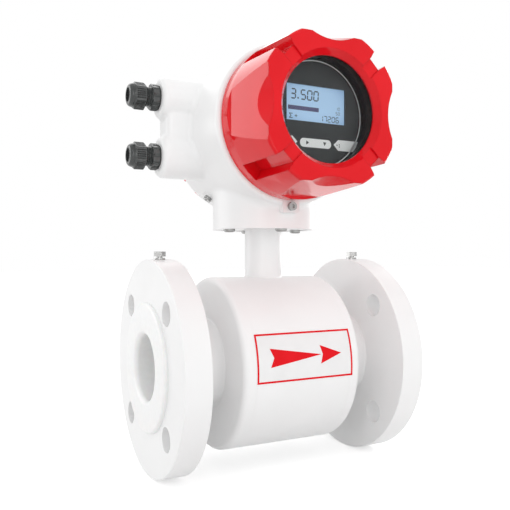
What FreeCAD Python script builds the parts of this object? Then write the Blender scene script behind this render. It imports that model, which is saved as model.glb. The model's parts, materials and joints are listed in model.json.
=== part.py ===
"""Electromagnetic flow meter, DN50 PN16, compact type with a converter head on a neck.

Millimetres. The origin is the centre of the flow bore, midway between the flange faces.
+X is the flow direction, +Z points up the neck, and the display faces -Y.
"""
import FreeCAD, Part
import math
import os

V = FreeCAD.Vector
X, Y, Z = V(1, 0, 0), V(0, 1, 0), V(0, 0, 1)

# ---- flow line: liner, measuring tube and flanges -------------------------------------------
BORE_R = 25.0            # nominal bore DN50
LINER_WALL = 5.5
TUBE_WALL = 4.0
FACE_TO_FACE = 200.0     # flange face to flange face, without the liner's flares
FLANGE_R = 82.5          # DN50 PN16: outside diameter 165
FLANGE_T = 20.0
FLANGE_EDGE = 0.8
BOLT_CIRCLE_R = 62.5     # DN50 PN16: bolt circle 125
BOLT_HOLE_R = 9.0        # for M16 bolts
BOLT_COUNT = 4
FLARE_R = 49.5           # raised face made by the liner turned out over the flange
FLARE_T = 3.0
FLARE_EDGE = 2.0
INLET_ROUND = 4.0        # rounding from the raised face into the bore

# ---- coil housing ---------------------------------------------------------------------------
SHELL_R = 68.2
SHELL_LENGTH = 100.0
SHELL_WALL = 3.0
SHELL_EDGE = 4.5
END_PLATE_T = 4.0
END_SKIRT = 10.0         # how far an end plate's rim reaches over the barrel of the housing
SHELL_CABLE_R = 11.0

# ---- magnet system --------------------------------------------------------------------------
POLE_SHOE_T = 3.0
POLE_SHOE_LENGTH = 44.0
POLE_SHOE_HALF_WIDTH = 22.0
POLE_CORE_R = 8.0
COIL_R = 19.0
COIL_GAP = 1.0           # play between a coil and what it sits on
YOKE_GAP = 5.7           # between the return band and the housing's wall
YOKE_T = 2.5
YOKE_WIDTH = 36.0
LEAD_BLOCK_T = 3.0
LEAD_BLOCK_SIDE = 16.0

# ---- electrodes -----------------------------------------------------------------------------
ELECTRODE_R = 2.0
ELECTRODE_HEAD_R = 4.0
ELECTRODE_HEAD_T = 1.5
ELECTRODE_LENGTH = 22.0
BUSH_R = 5.0
BUSH_COLLAR_R = 8.0
BUSH_COLLAR_T = 5.0
NUT_FLATS = 7.0
NUT_T = 3.0

# ---- neck and its joint with the converter --------------------------------------------------
NECK_R = 15.2
NECK_WALL = 2.6
HEAD_BASE_R = 41.8
HEAD_BASE_DROP = 80.4    # underside of the round base below the barrel axis
NECK_PLATE_R = 37.0
NECK_PLATE_T = 6.0
NECK_PLATE_RECESS = 0.5
GASKET_T = 1.0
GASKET_WIDTH = 18.0
NECK_SCREW_CIRCLE_R = 31.0
NECK_SCREW_COUNT = 4
NECK_SCREW_LENGTH = 14.0
LEAD_R = 3.0
LEAD_Y = -7.0            # the signal lead runs up the front half of the neck
LEAD_HOLE_R = 8.0
LEAD_TOP_GAP = 8.0

# ---- converter housing ----------------------------------------------------------------------
HEAD_Z = 187.1           # axis of the housing barrel above the pipe axis
BARREL_FRONT_R = 62.5    # the casting's draft opens it towards the back
BARREL_REAR_R = 64.0
BARREL_HALF = 47.0
BARREL_EDGE = 4.0
CAVITY_R = 52.5
PARTITION_FRONT_Y = 2.0
PARTITION_T = 4.0
THREAD_R = 54.0          # cover thread, and the housing mouth that takes it
THREAD_LENGTH = 10.0
THREAD_RUNOUT = 2.0
ORING_SECTION_R = 1.2
ORING_PLAY = 0.3
BASE_BLEND = 6.0         # fillet between the barrel and the round base
ENTRY_BLEND = 4.0        # fillet round the cable entries and along the web

# ---- cable entries --------------------------------------------------------------------------
BOSS_R = 16.75
BOSS_END_X = -87.0
BOSS_EDGE = 4.5
BOSS_Y = 14.0
BOSS_RISE = 23.4         # height of each entry above and below the barrel axis
BOSS_STEP_R = 6.6
WEB_END_X = -82.5
WEB_HALF_WIDTH = 12.0
WEB_EDGE = 5.0

# ---- cable glands, M16 ----------------------------------------------------------------------
GLAND_THREAD_R = 8.0
GLAND_THREAD_LENGTH = 10.0
GLAND_FLATS = 19.0
GLAND_SEAL_T = 1.0
GLAND_HEX_T = 5.6
GLAND_SPIGOT_R = 7.6
GLAND_BORE_R = 5.6
GLAND_SPIGOT_LENGTH = 11.0
NUT_GAP = 4.8            # thread left showing between the hexagon and the dome nut
NUT_GRIP_LENGTH = 9.0
NUT_DOME_LENGTH = 4.0
NUT_WALL = 1.6
NUT_OPENING_R = 5.5
NUT_CORNER_R = 10.9
INSERT_R = 5.3
INSERT_BORE_R = 4.0
INSERT_LENGTH = 10.0

# ---- front cover ----------------------------------------------------------------------------
COVER_RIM_R = 59.2
COVER_FACE_R = 57.0
COVER_DEPTH = 58.0       # from the housing's front edge to the cover's face
COVER_BAND = 11.0        # plain rim behind the notches
COVER_BORE_R = 46.5
COVER_EDGE = 2.2
FLAT_DISTANCE = 50.8     # a flat's distance from the axis at the face
FLAT_SLOPE = 0.137       # and how it opens towards the rim
FLAT_BAND = 13.0
SCALLOP_FACE_R = 47.0    # where a scallop cuts the face
SCALLOP_LENGTH = 12.5    # and how far it runs down the flat
SCALLOP_HALF_WIDTH = 17.0
NOTCH_FLOOR_R = 50.0
NOTCH_FLOOR_HALF = 5.2
NOTCH_MOUTH_HALF = 7.4
CHANNEL_DEPTH = 1.4
CHANNEL_START_R = 38.0
WINDOW_R = 37.5
WINDOW_FACE_R = 41.2
WINDOW_BEVEL = 5.0
WINDOW_LAND = 1.1
GLASS_R = 43.0
GLASS_T = 8.0
GLASS_PLAY = 0.3
GLASS_SEAL_T = 1.0
RETAINER_T = 4.0
RETAINER_BORE_R = 39.0

# ---- rear cover -----------------------------------------------------------------------------
REAR_DEPTH = 20.0
REAR_BAND = 4.0
REAR_PLATE_T = 6.0
REAR_FLAT_DISTANCE = 52.0
REAR_FLAT_BAND = 5.5
REAR_SCALLOP_LENGTH = 8.0

# ---- display and electronics ----------------------------------------------------------------
PANEL_DEPTH = 22.0       # cover face to display panel
PANEL_R = 43.8
PANEL_T = 1.2
LCD_WIDTH = 49.4
LCD_HEIGHT = 26.0
LCD_RISE = 7.2           # the display's centre above the barrel axis
LCD_BORDER = 4.0
LCD_T = 4.0
BOARD_T = 1.6
DISPLAY_BOARD_R = 42.0
MAIN_BOARD_R = 47.0
MAIN_BOARD_Y = -30.0     # back face of the main board
POWER_BOARD_Y = -11.0    # back face of the power board
STANDOFF_FLATS = 6.0
STANDOFF_CIRCLE_R = 37.5
STANDOFF_COUNT = 4
TRANSFORMER = (30.0, 20.0, 26.0)
TERMINALS = 6
TERMINAL_PITCH = 9.0
TERMINAL_BLOCK_DEPTH = 14.0
TERMINAL_BLOCK_HEIGHT = 20.0
TERMINAL_SCREW_R = 2.4

# ---- small screws ---------------------------------------------------------------------------
M5_R = 2.5
M4_R = 2.0
HOLE_PLAY = 0.1          # radial play of a screw in its hole
TIP_ROOM = 1.0           # empty thread past a screw's tip
HEX_HEAD_FLATS = 8.0
HEX_HEAD_T = 3.8
RIM_SCREW_GAP = 1.1      # the rim screws stand this far off their washers
RIM_WASHER_R = 4.6
RIM_WASHER_T = 1.2
RIM_SCREW_DEPTH = 12.0
BUTTON_HEAD_R = 4.75
BUTTON_HEAD_T = 2.75
KEY_FLATS = 3.0
KEY_DEPTH = 1.6
LOCK_LUG_HALF = 7.3
LOCK_LUG_DROP = 5.0      # how far the lug hangs below the barrel
LOCK_SCREW_BELOW = 1.2   # lock screw's axis below the barrel's front edge
LOCK_HEAD_R = 3.3
LOCK_HEAD_T = 3.0
LOCK_SCREW_LENGTH = 8.0
EARTH_ANGLE = -126.0     # earth screw on the barrel's side, seen from the front
EARTH_Y = 27.0
EARTH_PAD_R = 5.5
EARTH_PAD_RISE = 1.1     # the pad's face above the barrel
EARTH_SCREW_LENGTH = 7.0

# ---- flow direction label -------------------------------------------------------------------
LABEL_LENGTH = 82.0
LABEL_HEIGHT = 36.0      # measured round the housing
LABEL_X = 0.8
LABEL_ANGLE = 9.7        # degrees above the horizontal
LABEL_T = 0.3
LABEL_PLAY = 0.05        # film of glue under the label
PRINT_T = 0.1
LABEL_LINE = 1.4
ARROW_TAIL_X = -30.0
ARROW_TAIL_NOTCH = 3.0
ARROW_WAIST_X = 14.5
ARROW_HEAD_X = 12.6
ARROW_HEAD_NOTCH = 2.0
ARROW_TIP_X = 31.1
ARROW_HALF = 6.9

# ---- values worked out from those above -----------------------------------------------------
LINER_R = BORE_R + LINER_WALL
TUBE_R = LINER_R + TUBE_WALL
FACE_X = FACE_TO_FACE / 2
SHELL_END_X = SHELL_LENGTH / 2
SHELL_INNER_R = SHELL_R - SHELL_WALL
YOKE_R = SHELL_INNER_R - YOKE_GAP - YOKE_T
HEAD_BASE_Z = HEAD_Z - HEAD_BASE_DROP
NECK_PLATE_Z = HEAD_BASE_Z + NECK_PLATE_RECESS
NECK_TOP_Z = NECK_PLATE_Z + NECK_PLATE_T
POCKET_TOP_Z = NECK_TOP_Z + GASKET_T
HEAD = V(0, 0, HEAD_Z)
LOCK_SCREW_DROP = BARREL_FRONT_R + LOCK_SCREW_BELOW
BARREL_SPREAD = BARREL_REAR_R - BARREL_FRONT_R
EARTH_SEAT_R = BARREL_FRONT_R + BARREL_SPREAD * (0.5 + EARTH_Y / (2 * BARREL_HALF)) + EARTH_PAD_RISE
FRONT_Y = -BARREL_HALF
REAR_Y = BARREL_HALF
COVER_FACE_Y = FRONT_Y - COVER_DEPTH
REAR_FACE_Y = REAR_Y + REAR_DEPTH
GLASS_FRONT_Y = COVER_FACE_Y + WINDOW_BEVEL + WINDOW_LAND
PANEL_Y = COVER_FACE_Y + PANEL_DEPTH
DISPLAY_BOARD_Y = PANEL_Y + PANEL_T + LCD_T
ORING_SPACE = 2 * (ORING_SECTION_R + ORING_PLAY)
GLAND_HEX_X = BOSS_END_X - GLAND_SEAL_T
GLAND_SHOULDER_X = GLAND_HEX_X - GLAND_HEX_T
GLAND_NUT_X = GLAND_SHOULDER_X - NUT_GAP
GLAND_TIP_X = GLAND_NUT_X - NUT_GRIP_LENGTH - NUT_DOME_LENGTH
ENTRIES = {"upper": V(0, BOSS_Y, HEAD_Z + BOSS_RISE), "lower": V(0, BOSS_Y, HEAD_Z - BOSS_RISE)}


# ---- helpers --------------------------------------------------------------------------------
def rod(radius, start, end):
    """A solid cylinder between two points."""
    along = end - start
    return Part.makeCylinder(radius, along.Length, start, along)


def pipe(outer, inner, start, end):
    """A hollow cylinder between two points."""
    return rod(outer, start, end).cut(rod(inner, start, end))


def block(low, high):
    """A box between two corners."""
    size = high - low
    return Part.makeBox(size.x, size.y, size.z, low)


def rounded_face(corners, place):
    """A flat face from corners (u, v, radius); place turns (u, v) into a point in space."""
    points = [V(u, v, 0) for u, v, _ in corners]
    starts, ends, middles = [], [], []
    for i, (corner, (_, _, radius)) in enumerate(zip(points, corners)):
        before = (points[i - 1] - corner).normalize()
        after = (points[(i + 1) % len(points)] - corner).normalize()
        half = before.getAngle(after) / 2
        trim = radius / math.tan(half) if radius else 0.0
        starts.append(corner + before * trim)
        ends.append(corner + after * trim)
        reach = radius / math.sin(half) - radius if radius else 0.0
        bisector = before + after
        middles.append(corner + bisector.normalize() * reach if radius else corner)
    edges = []
    for i, start in enumerate(starts):
        if corners[i][2]:
            arc = Part.Arc(*(place(p.x, p.y) for p in (start, middles[i], ends[i])))
            edges.append(arc.toShape())
        following = starts[(i + 1) % len(starts)]
        if (following - ends[i]).Length > 1e-6:
            line = Part.LineSegment(place(ends[i].x, ends[i].y), place(following.x, following.y))
            edges.append(line.toShape())
    return Part.Face(Part.Wire(edges))


def turned(corners, origin, axis):
    """A solid of revolution from corners (distance along the axis, radius, rounding)."""
    across = X if abs(axis.z) > 0.5 else Z
    face = rounded_face(corners, lambda along, radius: origin + axis * along + across * radius)
    return face.revolve(origin, axis, 360)


def hexagon(flats, start, end, turn=0.0):
    """A hexagonal prism between two points; turn is the angle of its first corner."""
    along = end - start
    across = X if abs(along.z) > 0.5 * along.Length else Z
    side = along.cross(across).normalize()
    radius = flats / math.sqrt(3)
    corners = []
    for step in range(7):
        angle = math.radians(60 * step + turn)
        corners.append(start + across * (radius * math.cos(angle)) + side * (radius * math.sin(angle)))
    return Part.Face(Part.makePolygon(corners)).extrude(along)


def around(radius, angle, height=0.0):
    """A point on a circle about the Z axis."""
    return V(radius * math.cos(math.radians(angle)), radius * math.sin(math.radians(angle)), height)


def turned_copies(shape, count, origin, axis, first=0.0):
    """Equal copies of a shape turned about an axis."""
    copies = []
    for step in range(count):
        copy = shape.copy()
        copy.rotate(origin, axis, first + 360.0 / count * step)
        copies.append(copy)
    return copies


def mirrored_x(shape):
    """The same shape on the other side of the neck."""
    return shape.mirror(V(0, 0, 0), X)


# ---- flow line ------------------------------------------------------------------------------
def liner():
    """PTFE liner: one sleeve, turned out over both flange faces as the sealing faces."""
    end = FACE_X + FLARE_T
    corners = [(-end, BORE_R, INLET_ROUND), (-end, FLARE_R, FLARE_EDGE), (-FACE_X, FLARE_R, 0),
               (-FACE_X, LINER_R, 0), (FACE_X, LINER_R, 0), (FACE_X, FLARE_R, 0),
               (end, FLARE_R, FLARE_EDGE), (end, BORE_R, INLET_ROUND)]
    body = turned(corners, V(0, 0, 0), X)
    for side in (-1, 1):
        body = body.cut(rod(ELECTRODE_R, V(0, 0, 0), Y * side * LINER_R * 2))
        body = body.cut(rod(ELECTRODE_HEAD_R, V(0, 0, 0), Y * side * (BORE_R + ELECTRODE_HEAD_T)))
    return body


def measuring_tube():
    """Stainless tube between the flanges, with a hole for each electrode bush."""
    tube = pipe(TUBE_R, LINER_R, X * -FACE_X, X * FACE_X)
    return tube.cut(rod(BUSH_R, Y * -TUBE_R * 2, Y * TUBE_R * 2))


def flange():
    """Inlet flange, welded on the tube, with a tapped hole in the rim for the earth screw."""
    corners = [(-FACE_X, TUBE_R, 0), (-FACE_X, FLANGE_R, FLANGE_EDGE),
               (FLANGE_T - FACE_X, FLANGE_R, FLANGE_EDGE), (FLANGE_T - FACE_X, TUBE_R, 0)]
    body = turned(corners, V(0, 0, 0), X)
    hole = rod(BOLT_HOLE_R, V(-FACE_X, 0, BOLT_CIRCLE_R), V(FLANGE_T - FACE_X, 0, BOLT_CIRCLE_R))
    for cut in turned_copies(hole, BOLT_COUNT, V(0, 0, 0), X, 180.0 / BOLT_COUNT):
        body = body.cut(cut)
    return body.cut(rod(M5_R + HOLE_PLAY, rim_point(-RIM_SCREW_DEPTH), rim_point(RIM_WASHER_R)))


def rim_point(height):
    """A point on the inlet flange's earth screw axis, at a height above its rim."""
    return V(FLANGE_T / 2 - FACE_X, 0, FLANGE_R + height)


def rim_washer():
    return pipe(RIM_WASHER_R, M5_R + HOLE_PLAY, rim_point(0), rim_point(RIM_WASHER_T))


def rim_screw():
    """Hexagon head earth screw, standing off its washer so that a lead can go under it."""
    seat = RIM_WASHER_T + RIM_SCREW_GAP
    head = hexagon(HEX_HEAD_FLATS, rim_point(seat), rim_point(seat + HEX_HEAD_T), 30)
    shank = rod(M5_R, rim_point(HOLE_PLAY - RIM_SCREW_DEPTH), rim_point(seat))
    return head.fuse(shank).removeSplitter()


# ---- coil housing and magnet system ---------------------------------------------------------
def coil_housing_barrel():
    """Rolled barrel of the coil housing, with the hole under the neck."""
    half = SHELL_END_X - END_SKIRT
    barrel = pipe(SHELL_R, SHELL_INNER_R, X * -half, X * half)
    return barrel.cut(rod(SHELL_CABLE_R, V(0, 0, 0), Z * SHELL_R * 2))


def coil_housing_end():
    """Pressed end plate with a rounded rim, welded to the barrel and to the tube."""
    inside = SHELL_END_X - END_PLATE_T
    corners = [(-SHELL_END_X, TUBE_R, 0), (-SHELL_END_X, SHELL_R, SHELL_EDGE),
               (END_SKIRT - SHELL_END_X, SHELL_R, 0), (END_SKIRT - SHELL_END_X, SHELL_INNER_R, 0),
               (-inside, SHELL_INNER_R, SHELL_EDGE - SHELL_WALL), (-inside, TUBE_R, 0)]
    return turned(corners, V(0, 0, 0), X)


def pole_core():
    """Saddle-shaped pole shoe on the tube, with the round core that carries the coil."""
    half = V(POLE_SHOE_LENGTH / 2, POLE_SHOE_HALF_WIDTH, 0)
    shoe = pipe(TUBE_R + POLE_SHOE_T, TUBE_R, X * -half.x, X * half.x)
    shoe = shoe.common(block(V(-half.x, -half.y, 0), V(half.x, half.y, YOKE_R)))
    core = rod(POLE_CORE_R, Z * (TUBE_R + POLE_SHOE_T / 2), Z * YOKE_R)
    core = core.common(rod(YOKE_R, X * -half.x, X * half.x))
    return shoe.fuse(core).removeSplitter()


def field_coil():
    bottom = TUBE_R + POLE_SHOE_T + COIL_GAP / 2
    top = math.sqrt(YOKE_R ** 2 - COIL_R ** 2) - COIL_GAP / 2
    return pipe(COIL_R, POLE_CORE_R, Z * bottom, Z * top)


def return_yoke():
    """Steel band that closes the field outside the coils."""
    return pipe(YOKE_R + YOKE_T, YOKE_R, X * -YOKE_WIDTH / 2, X * YOKE_WIDTH / 2)


def lead_block():
    """Small terminal block on the yoke, under the neck."""
    half = LEAD_BLOCK_SIDE / 2
    top = YOKE_R + YOKE_T + LEAD_BLOCK_T
    body = block(V(-half, -half, YOKE_R), V(half, half, top))
    return body.cut(rod(YOKE_R + YOKE_T, X * -YOKE_R, X * YOKE_R))


def signal_lead():
    """Screened lead from the coils and electrodes up to the converter, straight up the neck."""
    bottom = YOKE_R + YOKE_T + LEAD_BLOCK_T
    return rod(LEAD_R, V(0, LEAD_Y, bottom), V(0, LEAD_Y, POCKET_TOP_Z + LEAD_TOP_GAP))


def electrode():
    """Front electrode: a pin whose head lies flush with the bore."""
    face = BORE_R + ELECTRODE_HEAD_T
    head = rod(ELECTRODE_HEAD_R, Y * -(BORE_R - ELECTRODE_HEAD_T), Y * -face)
    head = head.cut(rod(BORE_R, X * -ELECTRODE_HEAD_R * 2, X * ELECTRODE_HEAD_R * 2))
    return head.fuse(rod(ELECTRODE_R, Y * -face, Y * -(face + ELECTRODE_LENGTH))).removeSplitter()


def electrode_bush():
    """Insulating bush in the tube wall, with the collar that the nut bears on."""
    sleeve = rod(BUSH_R, Y * -LINER_R, Y * -TUBE_R).cut(rod(LINER_R, X * -BUSH_R * 2, X * BUSH_R * 2))
    collar = rod(BUSH_COLLAR_R, Y * -TUBE_R, Y * -(TUBE_R + BUSH_COLLAR_T))
    return sleeve.fuse(collar).cut(rod(ELECTRODE_R, V(0, 0, 0), Y * -TUBE_R * 2))


def electrode_nut():
    seat = TUBE_R + BUSH_COLLAR_T
    nut = hexagon(NUT_FLATS, Y * -seat, Y * -(seat + NUT_T))
    return nut.cut(rod(ELECTRODE_R, Y * -seat, Y * -(seat + NUT_T)))


# ---- neck -----------------------------------------------------------------------------------
def neck_tube():
    """Tube welded on the coil housing and into the neck plate."""
    tube = pipe(NECK_R, NECK_R - NECK_WALL, V(0, 0, 0), Z * NECK_TOP_Z)
    return tube.cut(rod(SHELL_R, X * -SHELL_END_X, X * SHELL_END_X))


def neck_plate():
    """Round plate on the neck, let into the underside of the converter."""
    body = pipe(NECK_PLATE_R, NECK_R, Z * NECK_PLATE_Z, Z * NECK_TOP_Z)
    hole = rod(M5_R + HOLE_PLAY, around(NECK_SCREW_CIRCLE_R, 0, NECK_PLATE_Z),
               around(NECK_SCREW_CIRCLE_R, 0, NECK_TOP_Z))
    return body.cut(Part.makeCompound(turned_copies(hole, NECK_SCREW_COUNT, V(0, 0, 0), Z)))


def neck_gasket():
    body = pipe(NECK_PLATE_R, NECK_PLATE_R - GASKET_WIDTH, Z * NECK_TOP_Z, Z * POCKET_TOP_Z)
    hole = rod(M5_R + HOLE_PLAY, around(NECK_SCREW_CIRCLE_R, 0, NECK_TOP_Z),
               around(NECK_SCREW_CIRCLE_R, 0, POCKET_TOP_Z))
    return body.cut(Part.makeCompound(turned_copies(hole, NECK_SCREW_COUNT, V(0, 0, 0), Z)))


def neck_screw():
    """Button head screw that holds the converter down on the neck plate, put in from below."""
    seat = around(NECK_SCREW_CIRCLE_R, 0, NECK_PLATE_Z)
    head = turned([(0, 0, 0), (0, BUTTON_HEAD_R, 0), (-BUTTON_HEAD_T, BUTTON_HEAD_R, 1.8),
                   (-BUTTON_HEAD_T, 0, 0)], seat, Z)
    key = hexagon(KEY_FLATS, seat - Z * BUTTON_HEAD_T, seat - Z * (BUTTON_HEAD_T - KEY_DEPTH))
    return head.fuse(rod(M5_R, seat, seat + Z * NECK_SCREW_LENGTH)).cut(key).removeSplitter()


# ---- converter housing ----------------------------------------------------------------------
def converter_housing():
    """Cast two-chamber housing: barrel, round base, two cable entries and the web between."""
    barrel = turned([(FRONT_Y, 0, 0), (FRONT_Y, BARREL_FRONT_R, BARREL_FRONT_R - COVER_RIM_R),
                     (REAR_Y, BARREL_REAR_R, BARREL_EDGE), (REAR_Y, 0, 0)], HEAD, Y)
    base = rod(HEAD_BASE_R, Z * HEAD_BASE_Z, HEAD)
    body = barrel.fuse(base)
    for centre in ENTRIES.values():
        tip = centre + X * BOSS_END_X
        boss = turned([(0, 0, 0), (0, BOSS_R, BOSS_EDGE), (-BOSS_END_X, BOSS_R, 0),
                       (-BOSS_END_X, 0, 0)], tip, X)
        body = body.fuse(boss)
    web = rounded_face([(WEB_END_X, BOSS_Y - WEB_HALF_WIDTH, WEB_EDGE), (0, BOSS_Y - WEB_HALF_WIDTH, 0),
                        (0, BOSS_Y + WEB_HALF_WIDTH, 0), (WEB_END_X, BOSS_Y + WEB_HALF_WIDTH, WEB_EDGE)],
                       lambda u, v: V(u, v, HEAD_Z - BOSS_RISE))
    body = blended(body.fuse(web.extrude(Z * 2 * BOSS_RISE)).removeSplitter())
    body = body.fuse(lock_lug())
    body = body.fuse(earth_pad()).removeSplitter()
    return hollowed(body)


def blended(body):
    """Cast fillets: above the round base, round the cable entries and along the web."""
    def above_base(edge):
        on_base = all(abs(math.hypot(at.x, at.y) - HEAD_BASE_R) < 0.1 for at in edge.discretize(7))
        return on_base and edge.BoundBox.ZMin > HEAD_BASE_Z + 1 and edge.Curve.TypeId != "Part::GeomLine"

    def at_entries(edge):
        box = edge.BoundBox
        if edge.Curve.TypeId == "Part::GeomLine":
            return box.XLength > 10 and box.XMax < -HEAD_BASE_R
        return box.XMin > -BARREL_REAR_R - 1 and box.XMax < BOSS_R - BARREL_FRONT_R

    body = body.makeFillet(BASE_BLEND, [edge for edge in body.Edges if above_base(edge)])
    return body.makeFillet(ENTRY_BLEND, [edge for edge in body.Edges if at_entries(edge)])


def lock_lug():
    """Lug under the barrel's front edge for the screw that locks the front cover."""
    bottom = HEAD_Z - LOCK_SCREW_DROP - LOCK_LUG_DROP
    corners = [(-LOCK_LUG_HALF, bottom, 2), (LOCK_LUG_HALF, bottom, 2),
               (LOCK_LUG_HALF, HEAD_Z - THREAD_R, 0), (-LOCK_LUG_HALF, HEAD_Z - THREAD_R, 0)]
    lug = rounded_face(corners, lambda u, v: V(u, FRONT_Y, v)).extrude(Y * BARREL_HALF)
    return lug.cut(rod(COVER_RIM_R + HOLE_PLAY, HEAD + Y * FRONT_Y * 2, HEAD + Y * FRONT_Y))


def earth_point(radius):
    """A point on the earth screw's axis at a distance from the barrel axis."""
    angle = math.radians(EARTH_ANGLE)
    return HEAD + V(radius * math.cos(angle), EARTH_Y, radius * math.sin(angle))


def earth_pad():
    return rod(EARTH_PAD_R, earth_point(CAVITY_R + M4_R), earth_point(EARTH_SEAT_R))


def hollowed(body):
    """Both chambers, the threaded mouths, the entries and the screw holes."""
    partition_rear = PARTITION_FRONT_Y + PARTITION_T
    mouth = THREAD_R + HOLE_PLAY
    seal_r = THREAD_R + ORING_SPACE
    for mouth_y, wall_y, inward in ((FRONT_Y, PARTITION_FRONT_Y, 1), (REAR_Y, partition_rear, -1)):
        start = HEAD + Y * mouth_y
        body = body.cut(rod(CAVITY_R, start, HEAD + Y * wall_y))
        body = body.cut(rod(mouth, start, start + Y * inward * (THREAD_LENGTH + THREAD_RUNOUT)))
        body = body.cut(rod(seal_r, start, start + Y * inward * ORING_SPACE))
    for centre in ENTRIES.values():
        tip = centre + X * BOSS_END_X
        thread_end = tip + X * (GLAND_THREAD_LENGTH + THREAD_RUNOUT)
        body = body.cut(rod(GLAND_THREAD_R + HOLE_PLAY, tip, thread_end))
        body = body.cut(rod(BOSS_STEP_R, tip, centre))
    body = body.cut(rod(NECK_PLATE_R + ORING_PLAY, Z * HEAD_BASE_Z, Z * POCKET_TOP_Z))
    body = body.cut(rod(LEAD_HOLE_R, V(0, LEAD_Y, POCKET_TOP_Z), V(0, LEAD_Y, HEAD_Z - CAVITY_R / 2)))
    hole = rod(M5_R + HOLE_PLAY, around(NECK_SCREW_CIRCLE_R, 0, POCKET_TOP_Z),
               around(NECK_SCREW_CIRCLE_R, 0, NECK_PLATE_Z + NECK_SCREW_LENGTH + TIP_ROOM))
    body = body.cut(Part.makeCompound(turned_copies(hole, NECK_SCREW_COUNT, V(0, 0, 0), Z)))
    lock = lock_point(0)
    body = body.cut(rod(M4_R + HOLE_PLAY, lock, lock + Y * (LOCK_SCREW_LENGTH + TIP_ROOM)))
    tip_r = EARTH_SEAT_R - EARTH_SCREW_LENGTH - TIP_ROOM
    return body.cut(rod(M4_R + HOLE_PLAY, earth_point(tip_r), earth_point(BARREL_REAR_R * 2)))


def lock_point(out):
    """A point on the lock screw's axis, at a distance in front of the housing's edge."""
    return V(0, FRONT_Y - out, HEAD_Z - LOCK_SCREW_DROP)


def lock_screw():
    """Cheese head screw with a hexagon socket that locks the front cover."""
    head = rod(LOCK_HEAD_R, lock_point(0), lock_point(LOCK_HEAD_T))
    key = hexagon(KEY_FLATS, lock_point(LOCK_HEAD_T - KEY_DEPTH), lock_point(LOCK_HEAD_T))
    return head.fuse(rod(M4_R, lock_point(0), lock_point(-LOCK_SCREW_LENGTH))).cut(key).removeSplitter()


def earth_screw():
    seat = EARTH_SEAT_R
    head = rod(LOCK_HEAD_R, earth_point(seat), earth_point(seat + LOCK_HEAD_T))
    shank = rod(M4_R, earth_point(seat - EARTH_SCREW_LENGTH), earth_point(seat))
    key = hexagon(KEY_FLATS, earth_point(seat + LOCK_HEAD_T - KEY_DEPTH), earth_point(seat + LOCK_HEAD_T))
    return head.fuse(shank).cut(key).removeSplitter()


# ---- covers ---------------------------------------------------------------------------------
def castellate(body, face, inward, rim, flat_distance, flat_band, band, scallop_length):
    """Cut the grip form into a turned cover: four flats with a scallop at the face edge of
    each, four notches on the diagonals, and a shallow channel from each notch to the window.
    face is the cover's face along Y, inward is +1 or -1 towards the housing, rim is its edge."""
    def at(out, radius):
        return HEAD + Y * (face + inward * out) + X * radius

    depth = abs(rim - face)
    past = 1.0
    flat_end = depth - flat_band
    far = COVER_RIM_R * 1.5
    ramp = COVER_RIM_R - flat_distance
    flat = [(-past, flat_distance - FLAT_SLOPE * past, 0),
            (flat_end, flat_distance + FLAT_SLOPE * flat_end, 0),
            (flat_end + ramp, flat_distance + FLAT_SLOPE * flat_end + ramp, 0),
            (flat_end + ramp, far, 0), (-past, far, 0)]
    side = rounded_face(flat, at)
    side.translate(Z * -far)
    cuts = turned_copies(side.extrude(Z * 2 * far), 4, HEAD, Y)

    face_point = at(0, SCALLOP_FACE_R)
    flat_point = at(scallop_length, flat_distance + FLAT_SLOPE * scallop_length)
    along = (flat_point - face_point).normalize()
    outward = (X - along * along.dot(X)).normalize()
    depth_at_edge = (at(0, flat_distance) - face_point).dot(outward)
    radius = (SCALLOP_HALF_WIDTH ** 2 + depth_at_edge ** 2) / (2 * depth_at_edge)
    axis_point = face_point + outward * radius
    scallop = rod(radius, axis_point - along * far, axis_point + along * far)
    cuts += turned_copies(scallop, 4, HEAD, Y)

    notch_end = depth - band
    section = [V(NOTCH_FLOOR_R, 0, -NOTCH_FLOOR_HALF), V(NOTCH_FLOOR_R, 0, NOTCH_FLOOR_HALF),
               V(COVER_RIM_R, 0, NOTCH_MOUTH_HALF), V(far, 0, NOTCH_MOUTH_HALF),
               V(far, 0, -NOTCH_MOUTH_HALF), V(COVER_RIM_R, 0, -NOTCH_MOUTH_HALF)]
    start = HEAD + Y * (face - inward * past)
    outline = [start + point for point in section]
    notch = Part.Face(Part.makePolygon(outline + outline[:1])).extrude(Y * inward * (past + notch_end))
    channel = block(V(CHANNEL_START_R, 0, -NOTCH_FLOOR_HALF),
                    V(far, past + CHANNEL_DEPTH, NOTCH_FLOOR_HALF))
    channel.translate(HEAD + Y * min(face - inward * past, face + inward * CHANNEL_DEPTH))
    cuts += turned_copies(notch, 4, HEAD, Y, 45)
    cuts += turned_copies(channel, 4, HEAD, Y, 45)
    for cut in cuts:
        body = body.cut(cut)
    return body


def front_cover():
    """Cast front cover with the window, screwed into the housing's front mouth."""
    back = THREAD_LENGTH - BARREL_HALF
    pocket_end = GLASS_FRONT_Y + GLASS_T
    corners = [(back, COVER_BORE_R, 0), (back, THREAD_R, 1), (FRONT_Y, THREAD_R, 0),
               (FRONT_Y, COVER_RIM_R, 1), (FRONT_Y - FLAT_BAND, COVER_RIM_R, 0),
               (COVER_FACE_Y, COVER_FACE_R, COVER_EDGE), (COVER_FACE_Y, WINDOW_FACE_R, 0),
               (COVER_FACE_Y + WINDOW_BEVEL, WINDOW_R, 0), (GLASS_FRONT_Y, WINDOW_R, 0),
               (GLASS_FRONT_Y, GLASS_R + GLASS_PLAY, 0), (pocket_end, GLASS_R + GLASS_PLAY, 0),
               (pocket_end, COVER_BORE_R, 0)]
    body = turned(corners, HEAD, Y)
    return castellate(body, COVER_FACE_Y, 1, FRONT_Y, FLAT_DISTANCE, FLAT_BAND, COVER_BAND,
                      SCALLOP_LENGTH)


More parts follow.
